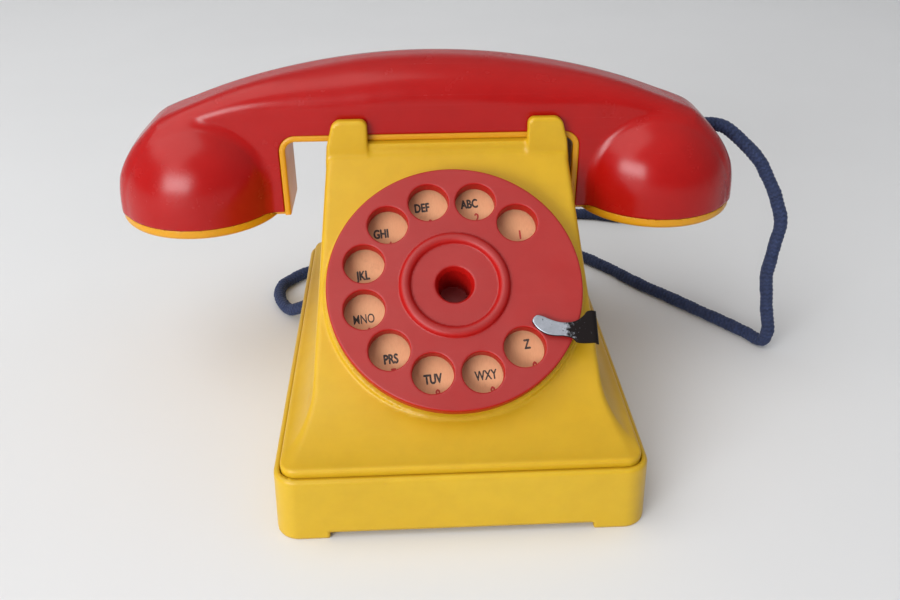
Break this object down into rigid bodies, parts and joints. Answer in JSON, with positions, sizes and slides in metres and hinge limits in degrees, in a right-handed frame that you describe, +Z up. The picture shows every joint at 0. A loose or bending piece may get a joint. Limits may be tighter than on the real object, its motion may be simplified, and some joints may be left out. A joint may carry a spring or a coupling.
{
  "type": "toy rotary telephone",
  "caption": "Toy desk telephone with a sloping body, a turning finger-hole dial over a number card, a lift-off handset in a pronged cradle and a braided cord.",
  "frame": {"origin": "centre of the base on the surface it stands on", "axes": "+X to the right seen from the dial side, -Y towards the dial side, +Z up"},
  "size_m": [0.2328, 0.2262, 0.1098],
  "materials": {
    "tray_yellow": "semi-gloss",
    "housing_yellow": "semi-gloss",
    "handset_red": "gloss",
    "handset_yellow": "semi-gloss",
    "dial_red": "satin",
    "white_plastic": "matte",
    "card": "matte",
    "black_steel": "worn gloss paint",
    "zinc_steel": "zinc plated",
    "spring_steel": "bright",
    "bell_steel": "bright",
    "cord": "braided cotton"
  },
  "bodies": {
    "base": {"base_tray": "tray_yellow", "upper_housing": "housing_yellow", "base_screws": "zinc_steel", "number_card": "card", "finger_stop": "black_steel", "finger_stop_rivet": "zinc_steel", "dial_return_spring": "spring_steel", "gong": "bell_steel", "gong_screw": "zinc_steel", "striker_pin": "zinc_steel", "striker_spring": "spring_steel", "base_cord_knot": "cord", "cord": "cord"},
    "dial": {"dial_wheel": "dial_red", "click_wheel": "white_plastic", "hub_clip": "zinc_steel"},
    "striker": {"striker_arm": "zinc_steel", "striker_hammer": "zinc_steel"},
    "handset": {"handset_back_shell": "handset_red", "handset_inner_shell": "handset_yellow", "handset_screws": "zinc_steel", "handset_cord_end": "cord", "handset_cord_knot": "cord"}
  },
  "joints": [
    {"name": "handset_lift", "type": "slide", "parent": "base", "child": "handset", "axis": [0, 0, 1], "range_m": [0, 0.08]},
    {"name": "dial_turn", "type": "hinge", "parent": "base", "child": "dial", "pos_m": [0, -0.02865, 0.05789], "axis": [0, 0.6465, -0.7629], "range_deg": [0, 330], "stiffness_Nm_per_rad": 0.002},
    {"name": "striker_swing", "type": "hinge", "parent": "base", "child": "striker", "pos_m": [0.02, -0.0122, 0.05086], "axis": [0, 0.6465, -0.7629], "range_deg": [-2, 4], "stiffness_Nm_per_rad": 0.005}
  ]
}
